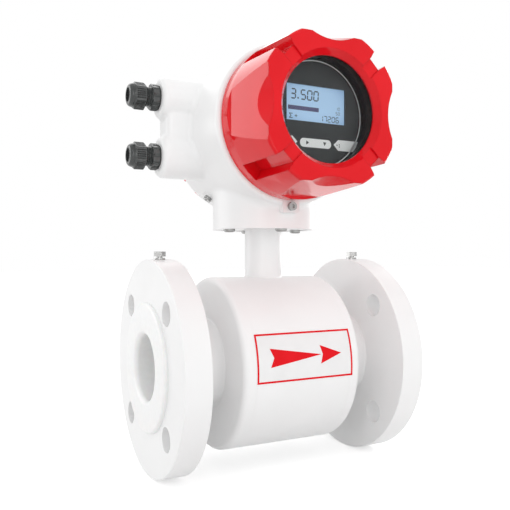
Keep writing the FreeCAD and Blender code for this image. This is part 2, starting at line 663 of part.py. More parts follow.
def rear_cover():
    """Blind rear cover of the same grip form over the terminal chamber."""
    back = BARREL_HALF - THREAD_LENGTH
    inside = REAR_FACE_Y - REAR_PLATE_T
    corners = [(back, COVER_BORE_R, 0), (back, THREAD_R, 1), (REAR_Y, THREAD_R, 0),
               (REAR_Y, COVER_RIM_R, 1), (REAR_Y + REAR_BAND, COVER_RIM_R, 0),
               (REAR_FACE_Y, COVER_FACE_R, COVER_EDGE), (REAR_FACE_Y, 0, 0), (inside, 0, 0),
               (inside, COVER_BORE_R, 2)]
    body = turned(corners, HEAD, Y)
    return castellate(body, REAR_FACE_Y, -1, REAR_Y, REAR_FLAT_DISTANCE, REAR_FLAT_BAND, REAR_BAND,
                      REAR_SCALLOP_LENGTH)


def cover_oring(mouth_y, inward):
    """O-ring round the root of a cover's thread, in the step of the housing's mouth."""
    centre = HEAD + Y * (mouth_y + inward * (ORING_SPACE / 2))
    return Part.makeTorus(THREAD_R + ORING_SPACE / 2, ORING_SECTION_R, centre, Y)


def window_glass():
    start = HEAD + Y * GLASS_FRONT_Y
    return rod(GLASS_R, start, start + Y * GLASS_T)


def glass_seal():
    start = HEAD + Y * (GLASS_FRONT_Y + GLASS_T)
    return pipe(COVER_BORE_R - HOLE_PLAY, RETAINER_BORE_R, start, start + Y * GLASS_SEAL_T)


def glass_retainer():
    """Threaded ring that clamps the glass, with four slots for a pin spanner."""
    start = HEAD + Y * (GLASS_FRONT_Y + GLASS_T + GLASS_SEAL_T)
    body = pipe(COVER_BORE_R - HOLE_PLAY, RETAINER_BORE_R, start, start + Y * RETAINER_T)
    slot = block(V(RETAINER_BORE_R - 2, 0, -2), V(COVER_BORE_R - 4, RETAINER_T / 2, 2))
    slot.translate(start + Y * RETAINER_T / 2)
    return body.cut(Part.makeCompound(turned_copies(slot, 4, HEAD, Y)))


# ---- display and electronics ----------------------------------------------------------------
def display_panel():
    """Dark front panel with the display's opening; its touch keys are printed fields."""
    start = HEAD + Y * PANEL_Y
    panel = rod(PANEL_R, start, start + Y * PANEL_T)
    window = block(V(-LCD_WIDTH / 2, 0, LCD_RISE - LCD_HEIGHT / 2),
                   V(LCD_WIDTH / 2, PANEL_T, LCD_RISE + LCD_HEIGHT / 2))
    window.translate(start)
    return panel.cut(window)


def lcd_module():
    start = HEAD + Y * (PANEL_Y + PANEL_T)
    half = V(LCD_WIDTH / 2 + LCD_BORDER, 0, LCD_HEIGHT / 2 + LCD_BORDER)
    body = block(V(-half.x, 0, LCD_RISE - half.z), V(half.x, LCD_T, LCD_RISE + half.z))
    body.translate(start)
    return body


def round_board(radius, back_y):
    """A round circuit board; back_y is its back face."""
    return rod(radius, HEAD + Y * (back_y - BOARD_T), HEAD + Y * back_y)


def standoffs(start_y, end_y):
    """Hexagonal pillars between two boards, as one group."""
    offset = X * STANDOFF_CIRCLE_R
    pillar = hexagon(STANDOFF_FLATS, HEAD + offset + Y * start_y, HEAD + offset + Y * end_y)
    return Part.makeCompound(turned_copies(pillar, STANDOFF_COUNT, HEAD, Y))


def panel_spacers():
    """Short pillars that hold the panel off the display board beside the display."""
    return standoffs(PANEL_Y + PANEL_T, DISPLAY_BOARD_Y)


def transformer():
    width, depth, height = TRANSFORMER
    front = MAIN_BOARD_Y - BOARD_T
    body = block(V(-width / 2, front - depth, -height / 2), V(width / 2, front, height / 2))
    body.translate(HEAD - Z * LCD_RISE * 2)
    return body


def terminal_block():
    """Row of screw terminals on the partition, in the rear chamber."""
    width = TERMINALS * TERMINAL_PITCH
    start = HEAD + Y * (PARTITION_FRONT_Y + PARTITION_T)
    body = block(V(-width / 2, 0, -TERMINAL_BLOCK_HEIGHT / 2),
                 V(width / 2, TERMINAL_BLOCK_DEPTH, TERMINAL_BLOCK_HEIGHT / 2))
    body.translate(start)
    for point in terminal_points():
        body = body.cut(rod(TERMINAL_SCREW_R + HOLE_PLAY, point - Y * TERMINAL_BLOCK_DEPTH / 2, point))
        mouth = rod(TERMINAL_SCREW_R, point - V(0, TERMINAL_BLOCK_DEPTH * 0.7, 0),
                    point - V(0, TERMINAL_BLOCK_DEPTH * 0.7, TERMINAL_BLOCK_HEIGHT))
        body = body.cut(mouth)
    return body


def terminal_points():
    """Centres of the terminal screws on the block's rear face."""
    back = PARTITION_FRONT_Y + PARTITION_T + TERMINAL_BLOCK_DEPTH
    first = -(TERMINALS - 1) / 2 * TERMINAL_PITCH
    return [HEAD + V(first + step * TERMINAL_PITCH, back, 0) for step in range(TERMINALS)]


def terminal_screws():
    screws = []
    for point in terminal_points():
        screw = rod(TERMINAL_SCREW_R, point - Y * TERMINAL_BLOCK_DEPTH / 2, point - Y * 1.0)
        slot = block(V(-TERMINAL_SCREW_R, -2, -0.5), V(TERMINAL_SCREW_R, 0, 0.5))
        slot.translate(point)
        screws.append(screw.cut(slot))
    return Part.makeCompound(screws)


# ---- cable glands ---------------------------------------------------------------------------
def gland_seal(centre):
    start = centre + X * BOSS_END_X
    return pipe(GLAND_FLATS / 2, GLAND_THREAD_R + HOLE_PLAY, start, start - X * GLAND_SEAL_T)


def gland_body(centre):
    """Nylon gland body: thread into the boss, hexagon, and the spigot that the nut runs on."""
    hex_start, hex_end = centre + X * GLAND_HEX_X, centre + X * GLAND_SHOULDER_X
    body = hexagon(GLAND_FLATS, hex_start, hex_end)
    body = body.fuse(rod(GLAND_THREAD_R, hex_start, centre + X * (BOSS_END_X + GLAND_THREAD_LENGTH)))
    body = body.fuse(rod(GLAND_SPIGOT_R, hex_end, hex_end - X * GLAND_SPIGOT_LENGTH))
    bore = rod(GLAND_BORE_R, hex_end - X * GLAND_SPIGOT_LENGTH,
               centre + X * (BOSS_END_X + GLAND_THREAD_LENGTH))
    return body.cut(bore).removeSplitter()


def gland_nut(centre):
    """Dome nut: a hexagon with turned corners, a rounded front and the cable opening."""
    back = centre + X * GLAND_NUT_X
    grip, total = NUT_GRIP_LENGTH, NUT_GRIP_LENGTH + NUT_DOME_LENGTH
    prism = hexagon(GLAND_FLATS, back, back - X * total)
    envelope = turned([(0, 0, 0), (0, NUT_CORNER_R, 0.8), (grip, NUT_CORNER_R, 0.8),
                       (grip, GLAND_FLATS / 2, 0), (total, GLAND_FLATS / 2, 3.2), (total, 0, 0)],
                      back, X * -1)
    bore_r = GLAND_SPIGOT_R + HOLE_PLAY
    inside = turned([(0, 0, 0), (0, bore_r, 0), (grip, bore_r, 0), (total - NUT_WALL, NUT_OPENING_R, 0),
                     (total, NUT_OPENING_R, 0), (total, 0, 0)], back, X * -1)
    return prism.common(envelope).cut(inside)


def gland_insert(centre):
    """Rubber sleeve that closes on the cable as the nut is tightened."""
    tip = centre + X * (GLAND_TIP_X + NUT_WALL)
    return pipe(INSERT_R, INSERT_BORE_R, tip, tip + X * INSERT_LENGTH)


# ---- flow direction label -------------------------------------------------------------------
def label_height(arc):
    """Height of a point of the label, given its distance round the housing from the middle."""
    return SHELL_R * math.sin(math.radians(LABEL_ANGLE) + arc / SHELL_R)


def wrapped(outline, inner_r, thickness):
    """A thin field on the housing: an outline (x, arc) carried onto the front of the barrel."""
    points = [V(LABEL_X + x, 0, label_height(arc)) for x, arc in outline]
    field = Part.Face(Part.makePolygon(points + points[:1])).extrude(Y * -SHELL_R * 2)
    return field.common(pipe(inner_r + thickness, inner_r, X * -SHELL_END_X, X * SHELL_END_X))


def rectangle(half_length, half_height):
    return [(-half_length, -half_height), (half_length, -half_height),
            (half_length, half_height), (-half_length, half_height)]


def flow_label():
    return wrapped(rectangle(LABEL_LENGTH / 2, LABEL_HEIGHT / 2), SHELL_R + LABEL_PLAY, LABEL_T)


def flow_print():
    """Frame and arrow printed on the label."""
    on = SHELL_R + LABEL_PLAY + LABEL_T
    half_length, half_height = LABEL_LENGTH / 2, LABEL_HEIGHT / 2
    frame = wrapped(rectangle(half_length, half_height), on, PRINT_T)
    frame = frame.cut(wrapped(rectangle(half_length - LABEL_LINE, half_height - LABEL_LINE),
                              on - PRINT_T, PRINT_T * 3))
    tail = [(ARROW_TAIL_X, -ARROW_HALF), (ARROW_WAIST_X - ARROW_HEAD_NOTCH / 2, 0),
            (ARROW_TAIL_X, ARROW_HALF), (ARROW_TAIL_X + ARROW_TAIL_NOTCH, 0)]
    head = [(ARROW_HEAD_X, -ARROW_HALF), (ARROW_TIP_X, 0), (ARROW_HEAD_X, ARROW_HALF),
            (ARROW_HEAD_X + ARROW_HEAD_NOTCH, 0)]
    return Part.makeCompound([frame, wrapped(tail, on, PRINT_T), wrapped(head, on, PRINT_T)])


# ---- the whole meter ------------------------------------------------------------------------
def all_parts():
    parts = {
        "liner": liner(),
        "measuring_tube": measuring_tube(),
        "flange_inlet": flange(),
        "flange_outlet": mirrored_x(flange()),
        "rim_earth_washers": Part.makeCompound([rim_washer(), mirrored_x(rim_washer())]),
        "rim_earth_screws": Part.makeCompound([rim_screw(), mirrored_x(rim_screw())]),
        "coil_housing_barrel": coil_housing_barrel(),
        "coil_housing_end_inlet": coil_housing_end(),
        "coil_housing_end_outlet": mirrored_x(coil_housing_end()),
        "return_yoke": return_yoke(),
        "lead_block": lead_block(),
        "signal_lead": signal_lead(),
        "flow_label": flow_label(),
        "flow_print": flow_print(),
        "neck_tube": neck_tube(),
        "neck_plate": neck_plate(),
        "neck_gasket": neck_gasket(),
        "neck_screws": Part.makeCompound(turned_copies(neck_screw(), NECK_SCREW_COUNT, V(0, 0, 0), Z)),
        "converter_housing": converter_housing(),
        "cover_lock_screw": lock_screw(),
        "housing_earth_screw": earth_screw(),
        "front_cover": front_cover(),
        "front_oring": cover_oring(FRONT_Y, 1),
        "window_glass": window_glass(),
        "glass_seal": glass_seal(),
        "glass_retainer": glass_retainer(),
        "rear_cover": rear_cover(),
        "rear_oring": cover_oring(REAR_Y, -1),
        "display_panel": display_panel(),
        "lcd_module": lcd_module(),
        "panel_spacers": panel_spacers(),
        "display_board": round_board(DISPLAY_BOARD_R, DISPLAY_BOARD_Y + BOARD_T),
        "display_standoffs": standoffs(DISPLAY_BOARD_Y + BOARD_T, MAIN_BOARD_Y - BOARD_T),
        "main_board": round_board(MAIN_BOARD_R, MAIN_BOARD_Y),
        "transformer": transformer(),
        "power_board": round_board(MAIN_BOARD_R, POWER_BOARD_Y),
        "board_standoffs": standoffs(MAIN_BOARD_Y, POWER_BOARD_Y - BOARD_T),
        "base_standoffs": standoffs(POWER_BOARD_Y, PARTITION_FRONT_Y),
        "terminal_block": terminal_block(),
        "terminal_screws": terminal_screws(),
    }
    for side, turn in (("top", 0), ("bottom", 180)):
        for name, shape in (("pole_core", pole_core()), ("field_coil", field_coil())):
            shape.rotate(V(0, 0, 0), X, turn)
            parts[f"{name}_{side}"] = shape
    for side, turn in (("front", 0), ("rear", 180)):
        for name, shape in (("electrode", electrode()), ("electrode_bush", electrode_bush()),
                            ("electrode_nut", electrode_nut())):
            shape.rotate(V(0, 0, 0), X, turn)
            parts[f"{name}_{side}"] = shape
    for name, centre in ENTRIES.items():
        parts[f"gland_body_{name}"] = gland_body(centre)
        parts[f"gland_seal_{name}"] = gland_seal(centre)
        parts[f"gland_insert_{name}"] = gland_insert(centre)
        parts[f"gland_nut_{name}"] = gland_nut(centre)
    return parts


def main():
    os.makedirs("parts", exist_ok=True)
    parts = all_parts()
    for name, shape in parts.items():
        if not shape.isValid():
            raise ValueError(f"{name} is not a valid shape")
        shape.exportStep(os.path.join("parts", f"{name}.step"))
        print(f"{name}: {len(shape.Solids)} solid(s), {shape.Volume / 1000:.2f} cm3")
    print(len(parts), "parts")


main()
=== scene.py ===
# %% [markdown]
# # An electromagnetic flow meter
#
# The meter is a flanged white tube with a round coil housing, a short neck and a converter head
# with two screw-on red covers. Its solids come from CAD. This file dresses them: it gives every
# solid its finish and adds what is too fine for the solids, such as threads, welds and the print
# behind the window. Lengths are written in millimetres and turned into metres by MM, because
# Blender's own unit is the metre. Lamps and the camera are placed in metres.

# %% Load the frame
import json
import math

import bmesh
import bpy
import numpy as np
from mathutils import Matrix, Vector


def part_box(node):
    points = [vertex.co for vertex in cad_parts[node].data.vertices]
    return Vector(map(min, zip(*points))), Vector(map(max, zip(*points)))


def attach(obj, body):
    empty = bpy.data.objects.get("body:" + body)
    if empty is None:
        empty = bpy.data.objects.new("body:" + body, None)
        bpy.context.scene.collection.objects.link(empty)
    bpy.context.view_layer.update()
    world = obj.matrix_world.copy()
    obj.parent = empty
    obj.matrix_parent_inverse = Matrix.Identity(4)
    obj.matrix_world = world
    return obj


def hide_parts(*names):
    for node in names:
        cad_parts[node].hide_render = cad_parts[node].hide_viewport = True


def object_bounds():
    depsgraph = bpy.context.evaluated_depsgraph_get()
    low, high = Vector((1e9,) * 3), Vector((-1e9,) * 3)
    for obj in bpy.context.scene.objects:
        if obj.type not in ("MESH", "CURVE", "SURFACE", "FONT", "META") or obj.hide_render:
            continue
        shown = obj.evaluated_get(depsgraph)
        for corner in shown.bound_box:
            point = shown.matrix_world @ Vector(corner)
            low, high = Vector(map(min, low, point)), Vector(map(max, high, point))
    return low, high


MM = 0.001
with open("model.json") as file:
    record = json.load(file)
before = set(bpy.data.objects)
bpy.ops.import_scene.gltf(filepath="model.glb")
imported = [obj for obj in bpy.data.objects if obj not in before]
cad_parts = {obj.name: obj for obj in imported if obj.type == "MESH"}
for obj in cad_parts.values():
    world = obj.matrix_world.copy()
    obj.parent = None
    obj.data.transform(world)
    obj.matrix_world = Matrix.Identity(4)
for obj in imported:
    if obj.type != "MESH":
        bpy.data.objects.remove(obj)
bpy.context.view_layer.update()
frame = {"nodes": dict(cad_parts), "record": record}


# %% [markdown]
# ## Where things are
#
# A new piece has to sit exactly on its solid. Its place could be typed in, but it is read from
# the solid's own box instead, so that it still fits when a size of the solids changes. The pipe
# axis is X through the origin. The head's axis runs along Y through the display panel's middle.

# %% Places read from the solids
def box(node):
    """Low and high corner of a solid in millimetres."""
    low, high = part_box(node)
    return np.array(low) / MM, np.array(high) / MM


def middle(node, axis):
    """Middle of a solid's box along one axis: 0 for X, 1 for Y, 2 for Z."""
    return sum(corner[axis] for corner in box(node)) / 2


panel_low, panel_high = box("display_panel")
HEAD_Z = (panel_low[2] + panel_high[2]) / 2
PANEL_FACE = panel_low[1]
LCD_FACE = box("lcd_module")[0][1]
SHELL_R = box("coil_housing_barrel")[1][2]
END_X = box("coil_housing_end_outlet")[1][0]
TUBE_R = box("measuring_tube")[1][1]
FLANGE_BACK = box("flange_outlet")[0][0]
NECK_R = box("neck_tube")[1][0]
SKIRT_END = box("rear_cover")[0][1]
GLAND_Y = middle("gland_nut_upper", 1)
GLAND_Z = {side: middle("gland_nut_" + side, 2) for side in ("upper", "lower")}
for label, place in (("head axis", HEAD_Z), ("panel", PANEL_FACE), ("display", LCD_FACE)):
    print(label, "at", round(place, 2))


# %% [markdown]
# ## Meshes from grids of points
#
# Most new pieces are surfaces over two parameters. The points are worked out as one numpy array
# with rows and columns, and every cell of the grid becomes a four-sided face. Flat print is the
# other kind: outlines that are filled and given a film's thickness. Doubled points are merged
# before the normals are recalculated, so that every face looks outwards.

# %% Turn a grid of points into a mesh
SAME_POINT = 1e-7


def finish_piece(name, vertices, faces, material, body, smooth=True):
    """A mesh object from points in millimetres, riding on a body, with its material."""
    mesh = bpy.data.meshes.new(name)
    mesh.from_pydata((np.asarray(vertices) * MM).tolist(), [], faces)
    bm = bmesh.new()
    bm.from_mesh(mesh)
    bmesh.ops.remove_doubles(bm, verts=bm.verts, dist=SAME_POINT)
    bmesh.ops.recalc_face_normals(bm, faces=bm.faces)
    bm.to_mesh(mesh)
    bm.free()
    mesh.polygons.foreach_set("use_smooth", np.full(len(mesh.polygons), smooth))
    piece = bpy.data.objects.new(name, mesh)
    bpy.context.scene.collection.objects.link(piece)
    mesh.materials.append(material)
    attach(piece, body)
    return piece


def grid_faces(rows, columns, wrap_rows, wrap_columns):
    """Corner numbers of the cells between neighbouring rows and columns of a grid."""
    row = np.arange(rows if wrap_rows else rows - 1)[:, None]
    column = np.arange(columns if wrap_columns else columns - 1)[None, :]
    below, beside = (row + 1) % rows, (column + 1) % columns
    cells = np.stack([row * columns + column, row * columns + beside,
                      below * columns + beside, below * columns + column], axis=-1)
    return cells.reshape(-1, 4).tolist()


def surface(name, points, material, body, wrap_rows=False, wrap_columns=False, smooth=True):
    """A mesh from an array of points with rows and columns."""
    rows, columns = points.shape[:2]
    faces = grid_faces(rows, columns, wrap_rows, wrap_columns)
    return finish_piece(name, points.reshape(-1, 3), faces, material, body, smooth)


# %% [markdown]
# ## Shader arithmetic
#
# A finish could be wired node by node, but it is easier to read as a formula. Wire wraps one
# output socket and overloads the operators, so `1 - mask * 0.3` adds the Math nodes by itself.
# Finish keeps the material and has one method, node, for every other kind of node. Colours go
# through a Mix node, because a Math node would turn them grey.

# %% Wire and Finish
class Wire:
    """One output of a shader node, usable in Python arithmetic."""

    def __init__(self, finish, socket):
        self.finish, self.socket = finish, socket

    def out(self, name):
        """Another output of the same node."""
        return Wire(self.finish, self.socket.node.outputs[name])

    def math(self, operation, *values):
        """A Math node with the values on its inputs."""
        return self.finish.node("ShaderNodeMath", {"operation": operation}, *values)

    def __add__(self, other): return self.math("ADD", self, other)
    def __radd__(self, other): return self.math("ADD", other, self)
    def __sub__(self, other): return self.math("SUBTRACT", self, other)
    def __rsub__(self, other): return self.math("SUBTRACT", other, self)
    def __mul__(self, other): return self.math("MULTIPLY", self, other)
    def __rmul__(self, other): return self.math("MULTIPLY", other, self)
    def __truediv__(self, other): return self.math("DIVIDE", self, other)

    def ramp(self, low, high):
        """0 below low, 1 above high, and smooth between."""
        settings = {"interpolation_type": "SMOOTHSTEP"}
        return self.finish.node("ShaderNodeMapRange", settings, self, low, high)


def socket_name(word):
    """Blender's name for a shader input: base_color becomes Base Color."""
    return word.replace("_", " ").title().replace("Ior", "IOR")


class Finish:
    """A material built round one Principled shader."""

    def __init__(self, name, **constants):
        self.material = bpy.data.materials.new(name)
        self.material.use_nodes = True
        self.tree = self.material.node_tree
        self.tree.nodes.clear()
        self.shader = self.tree.nodes.new("ShaderNodeBsdfPrincipled")
        self.output = self.tree.nodes.new("ShaderNodeOutputMaterial")
        self.tree.links.new(self.shader.outputs[0], self.output.inputs["Surface"])
        for name, value in constants.items():
            self.feed(self.shader.inputs[socket_name(name)], value)
        coordinates = self.node("ShaderNodeTexCoord")
        self.place = coordinates.out("Object")

    def feed(self, socket, value):
        """Link a Wire to an input, or set the input's own value."""
        if isinstance(value, Wire):
            self.tree.links.new(value.socket, socket)
        else:
            socket.default_value = value

    def node(self, kind, settings=None, *values, **named):
        """Add a node: settings first, then its inputs in order or by name."""
        node = self.tree.nodes.new(kind)
        for key, value in (settings or {}).items():
            setattr(node, key, value)
        for socket, value in zip(node.inputs, values):
            self.feed(socket, value)
        for key, value in named.items():
            self.feed(node.inputs[key.replace("_", " ")], value)
        return Wire(self, next(out for out in node.outputs if out.enabled))

    def noise(self, per_mm, detail=2.0, place=None):
        """Soft noise with about per_mm waves in a millimetre."""
        return self.node("ShaderNodeTexNoise", None, Vector=place or self.place,
                         Scale=per_mm / MM, Detail=detail)

    def blend(self, factor, low, high):
        """A colour between two colours; a Mix node's colour sockets are inputs 6 and 7."""
        node = self.tree.nodes.new("ShaderNodeMix")
        node.data_type, node.clamp_factor = "RGBA", True
        for number, value in ((0, factor), (6, low), (7, high)):
            self.feed(node.inputs[number], value)
        return Wire(self, node.outputs[2])

    def split(self):
        """X, Y and Z of a point of the piece in millimetres."""
        parts = self.node("ShaderNodeSeparateXYZ", None, self.place)
        return [parts.out(axis) * (1 / MM) for axis in "XYZ"]

    def vary(self, **inputs):
        """Link inputs of the shader that change over the surface."""
        for name, wire in inputs.items():
            self.feed(self.shader.inputs[socket_name(name)], wire)

    def bump(self, height, depth_mm, strength=1.0, normal=None):
        """Relief of depth_mm for a height that goes from 0 to 1."""
        extra = {"Normal": normal} if normal else {}
        relief = self.node("ShaderNodeBump", None, Height=height, Distance=depth_mm * MM,
                           Strength=strength, **extra)
        self.feed(self.shader.inputs["Normal"], relief)
        return relief


def grey(level):
    """A colour with no tint."""
    return (level, level, level, 1.0)


# %% [markdown]
# ## Paint
#
# The white body is powder coated: a thick, even coat with a faint orange peel and a soft gloss.
# The covers have a red enamel with a harder gloss. Both are a base colour with two scales of
# noise: slow drifts in colour and roughness, and a fine relief that breaks the reflections up.
# A Bevel node bends the light at the edges, as a coat does that flows round them. Real bevels
# would need a new mesh for every casting, and they would hardly look different.
#
# The covers screw into the housing. The turns of their threads only show when a cover is off, so
# they are relief in the enamel, kept to the skirts by the distance from the head's axis.

# %% The thread on the covers' skirts
COVER_PITCH = 2.0
COVER_THREAD_DEPTH = 0.9
SKIRT_LENGTH = 9.6
SKIRT_INNER_R = 52.0


def cover_thread(coat, soft_edge):
    """A wave that moves on one pitch along Y with each turn about the head's axis."""
    x, y, z = coat.split()
    up = z - HEAD_Z
    reach = up.math("SQRT", x * x + up * up)
    turn = up.math("ARCTAN2", up, x) * (0.5 / math.pi)
    wave = y.math("SINE", (y * (1 / COVER_PITCH) + turn) * (2 * math.pi))
    on_skirt = (SKIRT_END + SKIRT_LENGTH - y.math("ABSOLUTE", y)).ramp(0.0, 0.4)
    outside = (reach - SKIRT_INNER_R).ramp(0.0, 0.8)
    return coat.bump(wave * (on_skirt * outside) * 0.5 + 0.5, COVER_THREAD_DEPTH, 1.0, soft_edge)


# %% White powder coat and red enamel
def painted(name, low, high, roughness, peel_mm, peel_depth, round_mm, threaded=False,
            **constants):
    """Paint between two close colours, with orange peel and edges rounded by the coat.

    peel_mm is the number of waves of orange peel in a millimetre and peel_depth their depth.
    """
    coat = Finish(name, **constants)
    drift = coat.noise(0.02, 3.0)
    speck = coat.noise(1.4, 1.0)
    coat.vary(base_color=coat.blend(drift.ramp(0.35, 0.65), low, high),
              roughness=roughness + drift * 0.04 + speck * 0.04)
    soft_edge = coat.node("ShaderNodeBevel", {"samples": 4}, round_mm * MM)
    if threaded:
        soft_edge = cover_thread(coat, soft_edge)
    coat.bump(coat.noise(peel_mm, 1.5), peel_depth, 0.6, soft_edge)
    return coat.material


white_coat = painted("white_powder_coat", grey(0.90), grey(0.92), 0.34, 0.55, 0.012, 0.35,
                     coat_weight=0.1, coat_roughness=0.12, specular_ior_level=0.3)
cast_coat = painted("white_coat_on_casting", grey(0.90), grey(0.92), 0.38, 0.40, 0.030, 0.5,
                    coat_weight=0.1, coat_roughness=0.15, specular_ior_level=0.3)
red_enamel = painted("red_enamel", (0.74, 0.005, 0.011, 1), (0.80, 0.008, 0.015, 1), 0.14,
                     0.30, 0.010, 1.5, threaded=True, coat_weight=1.0, coat_roughness=0.05,
                     coat_ior=1.26, specular_ior_level=0.03)
print("paints:", white_coat.name, cast_coat.name, red_enamel.name)


# %% [markdown]
# ## Metal, rubber and plastics
#
# The screws are stainless steel: fine scratches, closer together along Z, give the turned look.
# The glands are moulded nylon, slightly mottled and with a soft gloss. Rubber is darker and
# duller, and the PTFE flares are waxy white, so a little light goes into them. One function makes
# all the metals and one all the plastics, because they differ only in colour, gloss and grain.

# %% The small parts' finishes
def metal(name, colour, roughness, scratch_depth):
    """Bare metal: noise drifts in its gloss, and scratches are its relief."""
    steel = Finish(name, metallic=1.0, base_color=colour)
    scratches = steel.node("ShaderNodeMapping", None, steel.place, Scale=(1, 1, 6))
    wear = steel.noise(0.5, 4.0)
    line = steel.noise(2.5, 2.0, scratches)
    steel.vary(roughness=roughness + wear * 0.15)
    steel.bump(line, scratch_depth, 0.5)
    return steel.material


def plastic(name, low, high, roughness, grain_mm, grain_depth, **constants):
    """Moulded plastic or rubber between two close colours, with a fine grain."""
    moulded = Finish(name, **constants)
    mottle = moulded.noise(0.25, 3.0)
    grain = moulded.noise(grain_mm, 2.0)
    moulded.vary(base_color=moulded.blend(mottle.ramp(0.3, 0.7), low, high),
                 roughness=roughness + grain * 0.08)
    moulded.bump(grain, grain_depth, 0.5)
    return moulded.material


stainless = metal("stainless_steel", (0.36, 0.36, 0.355, 1), 0.24, 0.01)
plain_steel = metal("plain_steel", (0.42, 0.42, 0.43, 1), 0.38, 0.02)
copper_wire = metal("enamelled_copper", (0.72, 0.33, 0.15, 1), 0.3, 0.05)
black_anodised = metal("black_anodised", (0.05, 0.05, 0.055, 1), 0.3, 0.01)
nylon = plastic("moulded_nylon", (0.030, 0.034, 0.034, 1), (0.042, 0.047, 0.046, 1),
                0.20, 1.2, 0.008)
rubber = plastic("black_rubber", grey(0.018), grey(0.03), 0.6, 1.5, 0.02)
ptfe = plastic("white_ptfe", (0.90, 0.90, 0.895, 1), (0.93, 0.93, 0.925, 1), 0.36, 0.5, 0.015,
               subsurface_weight=0.08, subsurface_scale=0.003)
circuit = plastic("solder_mask", (0.01, 0.12, 0.05, 1), (0.015, 0.2, 0.08, 1), 0.3, 0.8, 0.03)
black_plastic = plastic("black_moulding", grey(0.02), grey(0.04), 0.4, 0.8, 0.02)
green_plastic = plastic("green_moulding", (0.02, 0.18, 0.08, 1), (0.03, 0.24, 0.1, 1),
                        0.4, 0.8, 0.02)
grey_jacket = plastic("cable_jacket", (0.2, 0.2, 0.21, 1), (0.27, 0.27, 0.28, 1), 0.5, 0.5, 0.02)
peek = plastic("machined_peek", (0.62, 0.55, 0.43, 1), (0.7, 0.62, 0.5, 1), 0.4, 0.8, 0.02)
print("finishes so far:", len(bpy.data.materials))


# %% [markdown]
# ## Behind the window
#
# The panel is a dark printed film, and the display glows blue behind its opening. The glow is
# partly the display's backlight and partly painted light that lifts the shade in the recess. The
# window is glass. A glass shader would bend the light and leave the panel in shadow, so the window
# is a mix of a clear and a mirror shader by the angle of view: lamps light the panel through it,
# and it still reflects at its edges. Print is a film of ink with a faint cloudiness.

# %% Panel film, display, print and glass
def film(name, low, high, roughness, **constants):
    """A printed film or ink between two close colours."""
    sheet = Finish(name, **constants)
    cloud = sheet.noise(0.06, 2.0)
    sheet.vary(base_color=sheet.blend(cloud.ramp(0.3, 0.7), low, high),
               roughness=roughness + cloud * 0.06)
    sheet.bump(sheet.noise(2.0, 1.0), 0.004, 0.4)
    return sheet.material


LCD_HALF_WIDTH, LCD_HALF_HEIGHT, LCD_UP = 25.0, 13.0, 7.2


def backlit_and_painted_light():
    """Blue display, a little darker with the squared distance from the middle of its opening."""
    # The emission is partly backlight and partly painted light that lifts the shade in the
    # window's recess.
    lcd = Finish("backlit_display", roughness=0.25, emission_strength=0.35)
    x, _, z = lcd.split()
    across = x / LCD_HALF_WIDTH
    up = (z - (HEAD_Z + LCD_UP)) / LCD_HALF_HEIGHT
    fall = (across * across * 0.5 + up * up * 0.5).ramp(0.2, 1.4)
    backlight_and_painted_glow = lcd.blend(fall, (0.36, 0.53, 0.74, 1), (0.22, 0.36, 0.58, 1))
    lcd.vary(base_color=backlight_and_painted_glow, emission_color=backlight_and_painted_glow)
    return lcd.material


def window():
    """Clear at the front, mirror-like at a glancing angle."""
    glass = Finish("window_glass")
    see_through = glass.tree.nodes.new("ShaderNodeBsdfTransparent")
    see_through.inputs["Color"].default_value = (0.96, 0.98, 0.98, 1)
    mirror = glass.tree.nodes.new("ShaderNodeBsdfGlossy")
    mirror.inputs["Roughness"].default_value = 0.02
    angle = glass.node("ShaderNodeFresnel", None, 1.45)
    mix = glass.tree.nodes.new("ShaderNodeMixShader")
    glass.feed(mix.inputs[0], angle * 0.35)
    glass.tree.links.new(see_through.outputs[0], mix.inputs[1])
    glass.tree.links.new(mirror.outputs[0], mix.inputs[2])
    glass.tree.links.new(mix.outputs[0], glass.output.inputs["Surface"])
    glass.tree.nodes.remove(glass.shader)
    return glass.material


panel_film = film("panel_film", (0.026, 0.028, 0.030, 1), (0.034, 0.036, 0.038, 1), 0.32,
                  specular_ior_level=0.2)
# The display's glow is partly painted light that lifts the shade in the recess.
display = backlit_and_painted_light()
clear_glass = window()
label_film = film("label_film", (0.84, 0.84, 0.84, 1), (0.87, 0.87, 0.87, 1), 0.3)
red_print = film("red_print", (0.76, 0.006, 0.012, 1), (0.80, 0.008, 0.016, 1), 0.4,
                 specular_ior_level=0.1)
key_print = film("key_print", (0.95, 0.95, 0.94, 1), (0.97, 0.97, 0.96, 1), 0.35)
ink = film("dark_ink", (0.012, 0.013, 0.014, 1), (0.02, 0.021, 0.022, 1), 0.4)
lcd_ink = film("display_ink", (0.03, 0.045, 0.065, 1), (0.045, 0.06, 0.085, 1), 0.4)
bar_ink = film("display_bar", (0.075, 0.068, 0.18, 1), (0.095, 0.085, 0.21, 1), 0.4)
print("finishes so far:", len(bpy.data.materials))


# %% [markdown]
# ## Every solid gets its finish
#
# The record says which slot each solid belongs to. The solids could be dressed one by one, but one
# table from slot to finish dresses them all and leaves none out. Only the casting is named: its
# coat lies on cast metal and is coarser.

# %% Assign the finishes
FINISHES = {
    "white_paint": white_coat, "red_paint": red_enamel, "ptfe": ptfe, "steel": stainless,
    "dull_steel": plain_steel, "copper": copper_wire, "black_nylon": nylon,
    "black_rubber": rubber, "clear_glass": clear_glass, "panel_black": panel_film,
    "lcd_blue": display, "retainer_metal": black_anodised, "circuit_board": circuit,
    "component_black": black_plastic, "terminal_plastic": green_plastic,
    "lead_jacket": grey_jacket, "bush_plastic": peek, "label_white": label_film,
    "print_red": red_print,
}


def dress(node, material):
    """Give a solid one material in place of the ones it came with."""
    node.data.materials.clear()
    node.data.materials.append(material)


for subpart in frame["record"]["subparts"]:
    dress(frame["nodes"][subpart["node"]], FINISHES[subpart["material_slot"]])
dress(frame["nodes"]["converter_housing"], cast_coat)


